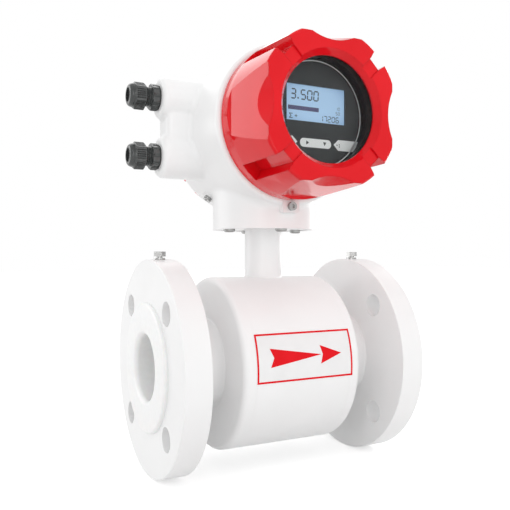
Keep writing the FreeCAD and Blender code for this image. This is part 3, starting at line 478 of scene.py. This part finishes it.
# %% [markdown]
# ## Cable glands
#
# A gland is a hexagon with a threaded spigot, and a dome nut with ribs on its flats. Flats, ribs
# and thread could be cut into a turned shape one after another. Here both pieces are a profile
# turned about the gland's axis, with a radius that also depends on the angle: that gives the
# flats, the ribs and the screw thread in one formula, and a clean mesh. The tip points along -X.

# %% Radius formulas
GLAND_FLATS = 19.0
GLAND_PITCH = 1.5
GLAND_THREAD_DEPTH = 0.65
SIXTH = math.pi / 3


def angle_from_flat(angle):
    """Angle from the middle of the nearest of a hexagon's six flats."""
    return (angle + SIXTH / 2) % SIXTH - SIXTH / 2


def hexagon_radius(angle, flats, corner):
    """Distance to a hexagon's side at each angle, cut off at the rounded corners."""
    return np.minimum(flats / 2 / np.cos(angle_from_flat(angle)), corner)


def thread(along, angle, pitch, depth):
    """Depth of a screw thread: a rounded wave that moves one pitch on with each turn."""
    turn = along / pitch + angle / (2 * math.pi)
    return depth * (0.5 - 0.5 * np.cos(2 * math.pi * turn)) ** 1.4


def turned_about_gland(name, along, radius, angle, side, material, body, node):
    """Rows run along the profile and columns round the axis; the tip points along -X."""
    x = np.broadcast_to(along[:, None], radius.shape)
    y = GLAND_Y + radius * np.cos(angle)
    z = GLAND_Z[side] + radius * np.sin(angle)
    piece = surface(name, np.stack([x, y, z], axis=-1), material, body,
                    wrap_rows=True, wrap_columns=True)
    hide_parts(node)
    return piece


def profile(*stretches):
    """Stations along a profile: each stretch is (x0, r0, x1, r1, steps)."""
    runs = [np.linspace((x0, r0), (x1, r1), steps, endpoint=False)
            for x0, r0, x1, r1, steps in stretches]
    return np.concatenate(runs).T


# %% The two gland bodies
GLAND_BORE_R = 5.6
INNER_THREAD_R = 7.9
SPIGOT_R = 7.75
SPIGOT_LENGTH = 11.0
HEXAGON_LENGTH = 5.6
CORNER_R = 10.9
BODY_COLUMNS = 96


def gland_body(side):
    """Inner thread, hexagon with a notch in each flat, and the threaded spigot of the nut."""
    low, high = box("gland_body_" + side)
    tip, inner = low[0], high[0]
    hex_out = tip + SPIGOT_LENGTH
    hex_in = hex_out + HEXAGON_LENGTH
    along, base = profile(
        (inner, GLAND_BORE_R, inner, INNER_THREAD_R, 3),
        (inner, INNER_THREAD_R, hex_in, INNER_THREAD_R, 24),
        (hex_in, INNER_THREAD_R, hex_in, 10.0, 4),
        (hex_in, 10.0, hex_in - 0.5, CORNER_R, 3),
        (hex_in - 0.5, CORNER_R, hex_out + 0.7, CORNER_R, 8),
        (hex_out + 0.7, CORNER_R, hex_out, 9.9, 3),
        (hex_out, 9.9, hex_out, SPIGOT_R, 5),
        (hex_out, SPIGOT_R, tip + 0.5, SPIGOT_R, 96),
        (tip + 0.5, SPIGOT_R, tip, 7.2, 3),
        (tip, 7.2, tip, GLAND_BORE_R, 3),
        (tip, GLAND_BORE_R, inner, GLAND_BORE_R, 6))
    angle = np.linspace(0, 2 * math.pi, BODY_COLUMNS, endpoint=False)[None, :]
    radius = np.broadcast_to(base[:, None], (len(base), BODY_COLUMNS))
    notch = np.exp(-(angle_from_flat(angle) / 0.09) ** 2) * 0.5
    flats = hexagon_radius(angle, GLAND_FLATS, 10.75) - notch * (along[:, None] > hex_out + 1.2)
    grip = (base > 8.0)[:, None]
    radius = np.where(grip, np.minimum(radius, flats), radius)
    spigot = ((along > tip + 0.6) & (along < hex_out - 0.4) & (base > 7.5))[:, None]
    turns = thread(along[:, None], angle, GLAND_PITCH, GLAND_THREAD_DEPTH)
    radius = radius - np.where(spigot, turns, 0)
    return turned_about_gland("gland_body_" + side + "_threaded", along, radius, angle, side,
                              nylon, "meter", "gland_body_" + side)


# %% The two dome nuts
DOME_LENGTH = 4.0
DOME_TIP_R, SHOULDER_R = 6.3, 9.2
NUT_HOLE_R = 5.5
RIB_DEPTH = 0.8
RIB_ANGLE = 0.165
NUT_COLUMNS = 540


def dome_nut(side):
    """Thread room inside, a hexagon with grooves in its flats, and a dome of quarter ellipse.

    The grooves are a clipped cosine of the angle from the middle of each flat.
    """
    low, high = box("gland_nut_" + side)
    tip, back = low[0], high[0]
    shoulder = tip + DOME_LENGTH
    dome = np.linspace(0, math.pi / 2, 14)
    dome_x = shoulder - 3.9 * np.sin(dome)
    dome_r = DOME_TIP_R + (SHOULDER_R - DOME_TIP_R) * np.cos(dome) ** 0.9
    inner_x, inner_r = profile(
        (tip, DOME_TIP_R, tip, 5.6, 3),
        (tip, NUT_HOLE_R, tip + 1.6, NUT_HOLE_R, 3),
        (tip + 1.6, NUT_HOLE_R, tip + 3.4, INNER_THREAD_R, 3),
        (tip + 3.4, INNER_THREAD_R, back, INNER_THREAD_R, 5),
        (back, INNER_THREAD_R, back, 9.3, 4),
        (back, 9.3, back - 0.5, CORNER_R, 3),
        (back - 0.5, CORNER_R, shoulder + 1.2, CORNER_R, 20),
        (shoulder + 1.2, CORNER_R, shoulder, SHOULDER_R, 5))
    along = np.concatenate([inner_x, dome_x])
    base = np.concatenate([inner_r, dome_r])
    angle = np.linspace(0, 2 * math.pi, NUT_COLUMNS, endpoint=False)[None, :]
    from_flat = angle_from_flat(angle)
    on_flat = np.clip((0.42 - np.abs(from_flat)) / 0.02, 0, 1)
    wave = np.cos(from_flat * 2 * math.pi / RIB_ANGLE)
    ribs = RIB_DEPTH * np.clip(0.5 + 1.2 * wave, 0, 1) * on_flat
    starts = np.clip((along - shoulder - 1.3) / 0.5, 0, 1)
    ends = np.clip((back - 0.8 - along) / 0.4, 0, 1)
    flats = hexagon_radius(angle, GLAND_FLATS, 10.85) - ribs * (starts * ends)[:, None]
    radius = np.broadcast_to(base[:, None], (len(base), NUT_COLUMNS))
    radius = np.where((base > SHOULDER_R)[:, None], np.minimum(radius, flats), radius)
    return turned_about_gland("dome_nut_" + side, along, radius, angle, side, nylon,
                              side + "_nut", "gland_nut_" + side)


for side in GLAND_Z:
    made = gland_body(side), dome_nut(side)
    print(side, "gland:", [len(piece.data.polygons) for piece in made], "faces")


# %% [markdown]
# ## Welds
#
# Flanges, end plates and neck are welded, and the coat flows over the beads. A bead could be a
# plain ring, but a real one has ripples where the weld pool froze. So each bead is a hollow
# quarter round swept round its joint, and ripples one or two millimetres apart change its size.

# %% Weld beads round the tube
TUBE_WELD_LEG = 2.6
SUNK = 0.25


def ripples(angle, radius, seed):
    """0 to 1 along a bead: a sine of its length, whose phase drifts three times in a turn."""
    way = angle * radius
    return 0.5 + 0.5 * np.sin(way / 0.9 * math.pi + 0.6 * np.sin(3 * angle + seed))


def tube_weld(name, corner_x, outward, seed):
    """Hollow quarter round between a face at corner_x and the tube, on the side of outward.

    Along the tube it reaches leg times 1 - sin, and off the tube leg times 1 - cos.
    """
    angle = np.linspace(0, 2 * math.pi, 480, endpoint=False)[None, :]
    across = np.linspace(0, math.pi / 2, 7)[:, None]
    size = TUBE_WELD_LEG * (0.92 + 0.1 * ripples(angle, TUBE_R, seed))
    x = corner_x + outward * (size * (1 - np.sin(across)) - SUNK)
    radius = TUBE_R - SUNK + size * (1 - np.cos(across))
    points = np.stack([np.broadcast_to(x, radius.shape), radius * np.cos(angle),
                       radius * np.sin(angle)], axis=-1)
    return surface(name, points, white_coat, "meter", wrap_columns=True)


corners = ((FLANGE_BACK, -1), (END_X, 1), (-FLANGE_BACK, 1), (-END_X, -1))
for number, (corner_x, outward) in enumerate(corners):
    tube_weld(f"tube_weld_{number + 1}", corner_x, outward, number * 1.7)
print("tube welds:", len(corners), "at", [round(float(corner_x), 1) for corner_x, _ in corners])


# %% The bead round the neck
NECK_WELD_LEG = 2.2
NECK_SUNK = 0.2


def neck_weld():
    """The same quarter round on the saddle curve where the neck stands on the round housing.

    The height of that curve is the root of the housing's squared radius less y squared.
    """
    angle = np.linspace(0, 2 * math.pi, 300, endpoint=False)[None, :]
    across = np.linspace(0, math.pi / 2, 7)[:, None]
    size = NECK_WELD_LEG * (0.92 + 0.1 * ripples(angle, NECK_R, 0.4))
    radius = NECK_R - NECK_SUNK + size * (1 - np.sin(across))
    x, y = radius * np.cos(angle), radius * np.sin(angle)
    z = np.sqrt(SHELL_R ** 2 - y ** 2) - NECK_SUNK + size * (1 - np.cos(across))
    return surface("neck_weld", np.stack([x, y, z], axis=-1), white_coat, "meter",
                   wrap_columns=True)


print("neck weld:", len(neck_weld().data.polygons), "faces")


# %% [markdown]
# ## Print behind the window
#
# The panel carries a ring line and labels for touch keys. They could be an image on the panel, but
# an image has one sharpness only and needs a file. So all print is a film a few hundredths of a
# millimetre proud of what carries it. Each shape is a closed outline in the plane of the panel:
# across is +X and up is +Z from the head's axis.

# %% Outlines and films
FILM = 0.05


def flat_film(name, outlines, face_y, material):
    """Films in the panel's plane from closed outlines, each an array of (across, up)."""
    vertices, faces = [], []
    for outline in outlines:
        count, start = len(outline), len(vertices)
        for depth in (-FILM, 0.0):
            vertices += [(across, face_y + depth, HEAD_Z + up) for across, up in outline]
        front = list(range(start, start + count))
        back = [corner + count for corner in front]
        faces += [front, back[::-1]]
        faces += [[front[i - 1], front[i], back[i], back[i - 1]] for i in range(count)]
    return finish_piece(name, vertices, faces, material, "meter", smooth=False)


def rounded_rectangle(centre, size, radius, steps=10):
    """Outline of a rectangle whose corners are quarter circles."""
    turn = np.linspace(0, math.pi / 2, steps)
    arcs = []
    for number, signs in enumerate(((1, 1), (-1, 1), (-1, -1), (1, -1))):
        corner = np.array(centre) + np.array(signs) * (np.array(size) / 2 - radius)
        angle = turn + number * math.pi / 2
        arcs.append(corner + radius * np.stack([np.cos(angle), np.sin(angle)], axis=-1))
    return np.concatenate(arcs)


def ring_line(radius, width, name, material):
    """A ring printed on the panel: a flat rectangle carried round a circle."""
    angle = np.linspace(0, 2 * math.pi, 180, endpoint=False)[None, :]
    corners = np.array([(radius - width / 2, 0.0), (radius + width / 2, 0.0),
                        (radius + width / 2, -FILM), (radius - width / 2, -FILM)])
    reach, depth = corners[:, :1], corners[:, 1:]
    points = np.stack([reach * np.cos(angle), np.broadcast_to(PANEL_FACE + depth, (4, 180)),
                       HEAD_Z + reach * np.sin(angle)], axis=-1)
    return surface(name, points, material, "meter", True, True, smooth=False)


ring_line(38.3, 0.85, "panel_ring_line", key_print)

# %% Key labels
# The middle key is a pill, and the outer two point inwards.
pill = rounded_rectangle((-0.7, -21.0), (26.3, 6.3), 2.9)
right_key = np.array([(14.6, -20.8), (18.6, -17.0), (36.2, -17.0), (32.9, -24.9), (18.6, -24.9)])
left_key = right_key * (-1, 1) + (-1.4, 0)
flat_film("key_labels", [pill, right_key, left_key[::-1]], PANEL_FACE, key_print)
play = np.array([(-8.7, -19.5), (-6.4, -20.9), (-8.7, -22.4)])
down = np.array([(5.5, -19.7), (8.3, -19.7), (6.9, -22.3)])
dot_places = ((17.6, -20.9), (19.6, -20.5), (19.6, -22.0),
              (-19.0, -20.9), (-21.0, -20.5), (-21.0, -22.0))
dots = [rounded_rectangle(place, (0.7, 1.1), 0.3, 4) for place in dot_places]
flat_film("key_signs", [play, down] + dots, PANEL_FACE - FILM, ink)
print("key labels: 3, signs on them:", 2 + len(dots))


# %% [markdown]
# ## The reading on the display
#
# The display shows plain seven-segment numbers: the flow on top, a bar for its share of the full
# range, and the sum below. A text object would need a font, and a real display has none either:
# its digits are made from up to seven slanted bars, and so are these.

# %% Seven-segment digits
SEGMENTS = {"0": "abcdef", "1": "bc", "2": "abged", "3": "abgcd", "4": "fgbc", "5": "afgcd",
            "6": "afgedc", "7": "abc", "8": "abcdefg", "9": "abcdfg"}
SEGMENT_ENDS = {"a": (0, 2, 1, 2), "b": (1, 2, 1, 1), "c": (1, 1, 1, 0), "d": (0, 0, 1, 0),
                "e": (0, 1, 0, 0), "f": (0, 2, 0, 1), "g": (0, 1, 1, 1)}
SEGMENT_GAP = 0.12


def bar_between(start, end, width):
    """A bar with pointed ends between two points."""
    along = (end - start) / np.linalg.norm(end - start)
    side = np.array([-along[1], along[0]]) * width / 2
    tip = along * width / 2
    start, end = start + along * SEGMENT_GAP, end - along * SEGMENT_GAP
    return np.array([start, start + tip + side, end - tip + side,
                     end, end - tip - side, start + tip - side])


def digits(text, left, bottom, width, height, stroke, gap, slant=0.06):
    """Outlines of a number; a decimal point is a square with rounded corners."""
    outlines, at = [], left
    for sign in text:
        if sign == ".":
            side = stroke * 1.2
            place = (at + side / 2, bottom + side / 2)
            outlines.append(rounded_rectangle(place, (side, side), 0.2, 4))
            at += side + gap
            continue
        for name in SEGMENTS[sign]:
            x0, y0, x1, y1 = SEGMENT_ENDS[name]
            ends = np.array([(x0 * width, y0 * height / 2), (x1 * width, y1 * height / 2)])
            ends[:, 0] += ends[:, 1] * slant + at
            ends[:, 1] += bottom
            outlines.append(bar_between(ends[0], ends[1], stroke))
        at += width + gap
    return outlines


# %% Figures, sum sign and bar
reading = digits("3.500", -20.6, 9.9, 3.6, 6.6, 0.95, 1.75)
total = digits("17206", 3.6, -4.3, 2.3, 3.8, 0.6, 1.15)
sum_sign = np.array([(-22.0, -0.7), (-19.2, -0.7), (-19.2, -1.2), (-21.2, -1.2),
                     (-20.2, -2.5), (-21.2, -3.8), (-19.2, -3.8), (-19.2, -4.3),
                     (-22.0, -4.3), (-22.0, -3.9), (-20.9, -2.5), (-22.0, -1.1)])
plus = [rounded_rectangle((-16.4, -2.4), size, 0.1, 3) for size in ((2.2, 0.45), (0.45, 2.2))]
scale = digits("50", 17.4, 1.3, 1.3, 2.2, 0.32, 0.7) + digits("10", 17.4, 4.9, 1.3, 2.0, 0.3, 0.7)
figures = reading + total + [sum_sign] + plus + scale
flat_film("display_reading", figures, LCD_FACE, lcd_ink)
share_bar = rounded_rectangle((-10.2, 3.4), (25.6, 3.0), 0.2, 3)
flat_film("display_bar_filled", [share_bar], LCD_FACE, bar_ink)
print("outlines on the display:", len(figures) + 1)


# %% [markdown]
# ## Camera and lamps
#
# The camera stands in front, towards the inlet side, and looks level. Most of the light is an
# even grey-white sky, as inside a white tent, because a white body under strong lamps would lose
# its shape. Soft lamps add a little from the upper left and the front. Gloss needs something to
# mirror, so four cards and strips are seen only in reflections: they put the pale sheen on the
# enamel's flats and light lines on its edges, and light nothing else.

# %% Camera
camera = bpy.data.objects.new("camera", bpy.data.cameras.new("camera"))
bpy.context.scene.collection.objects.link(camera)
camera.location = (-0.24394, -0.46655, 0.08592)
camera.rotation_euler = (math.pi / 2, 0, -math.radians(26.87))
camera.data.lens = 44.41
camera.data.sensor_width = 36.0
camera.data.clip_start = 0.01
bpy.context.scene.camera = camera
print("camera:", [round(value, 3) for value in camera.location], "lens", camera.data.lens)


# %% Lamps
def lamp(name, place, target, size, power, mirrored_only=False):
    """A rectangular lamp; a mirrored_only lamp is a card seen in gloss that lights nothing."""
    light = bpy.data.lights.new(name, "AREA")
    light.shape = "RECTANGLE"
    light.size, light.size_y, light.energy = size[0], size[1], power
    holder = bpy.data.objects.new(name, light)
    holder.location = place
    holder.rotation_euler = (Vector(target) - Vector(place)).to_track_quat("-Z", "Y").to_euler()
    holder.visible_diffuse = not mirrored_only
    bpy.context.scene.collection.objects.link(holder)
    return holder


HEAD = (0, 0, 0.18)
lamp("key_lamp", (-0.9, -1.0, 1.1), (0, 0, 0.12), (0.35, 0.5), 1.0)
lamp("left_lamp", (-1.3, -0.5, 0.35), (0, 0, 0.15), (0.25, 0.9), 0.15)
lamp("fill_lamp", (0.2, -1.6, 0.35), (0, 0, 0.12), (0.5, 0.9), 2.6)
lamp("top_lamp", (0.1, 0.1, 1.5), (0, 0, 0.1), (0.9, 0.3), 0.2)
lamp("back_left_card", (-1.5, 1.3, 0.5), HEAD, (1.4, 1.8), 21, mirrored_only=True)
lamp("back_top_card", (0.1, 1.5, 1.4), HEAD, (1.6, 1.0), 5, mirrored_only=True)
lamp("right_edge_strip", (1.3, 0.65, 0.4), HEAD, (0.2, 1.4), 8, mirrored_only=True)
lamp("front_edge_strip", (-0.95, -1.5, 0.3), HEAD, (0.12, 1.2), 6, mirrored_only=True)
print("lamps and cards:", len(bpy.data.lights))


# %% [markdown]
# ## White background
#
# The background is plain white. It could be made white with more light, but then the pale body
# would wash out. Light Path tells what a ray is for instead: rays from the camera, and mirrored
# and transmitted ones, see a white sky and a brighter floor. All others see the studio's light.

# %% Sky and floor
def seen_by_eye(tree):
    """1 for rays from the camera and for mirrored and transmitted rays, else 0."""
    path = tree.nodes.new("ShaderNodeLightPath")
    total = path.outputs["Is Camera Ray"]
    for name in ("Is Glossy Ray", "Is Transmission Ray"):
        node = tree.nodes.new("ShaderNodeMath")
        node.operation, node.use_clamp = "ADD", True
        tree.links.new(total, node.inputs[0])
        tree.links.new(path.outputs[name], node.inputs[1])
        total = node.outputs[0]
    return total


world = bpy.data.worlds.new("studio")
bpy.context.scene.world = world
world.use_nodes = True
sky = world.node_tree
sky.nodes.clear()
soft = sky.nodes.new("ShaderNodeBackground")
soft.inputs["Color"].default_value = grey(0.9)
soft.inputs["Strength"].default_value = 1.05
seen = sky.nodes.new("ShaderNodeBackground")
seen.inputs["Color"].default_value = grey(1.0)
seen.inputs["Strength"].default_value = 1.0
mix = sky.nodes.new("ShaderNodeMixShader")
end = sky.nodes.new("ShaderNodeOutputWorld")
sky.links.new(seen_by_eye(sky), mix.inputs[0])
sky.links.new(soft.outputs[0], mix.inputs[1])
sky.links.new(seen.outputs[0], mix.inputs[2])
sky.links.new(mix.outputs[0], end.inputs["Surface"])

FLOOR_HALF = 6
FLOOR_GAP = 0.0002
floor_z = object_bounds()[0][2] - FLOOR_GAP
floor_corners = [(x * FLOOR_HALF, y * FLOOR_HALF, floor_z)
                 for x, y in ((-1, -1), (1, -1), (1, 1), (-1, 1))]
floor_mesh = bpy.data.meshes.new("floor")
floor_mesh.from_pydata(floor_corners, [], [(0, 1, 2, 3)])
floor = bpy.data.objects.new("floor", floor_mesh)
bpy.context.scene.collection.objects.link(floor)
paper = Finish("floor_paper", roughness=0.9, base_color=grey(0.82), emission_color=grey(1.0))
seen_mask = Wire(paper, seen_by_eye(paper.tree))
paper.feed(paper.shader.inputs["Emission Strength"], seen_mask * 0.5)
floor_mesh.materials.append(paper.material)

bpy.context.scene.view_settings.view_transform = "Standard"
print("floor at", round(floor_z / MM, 2))
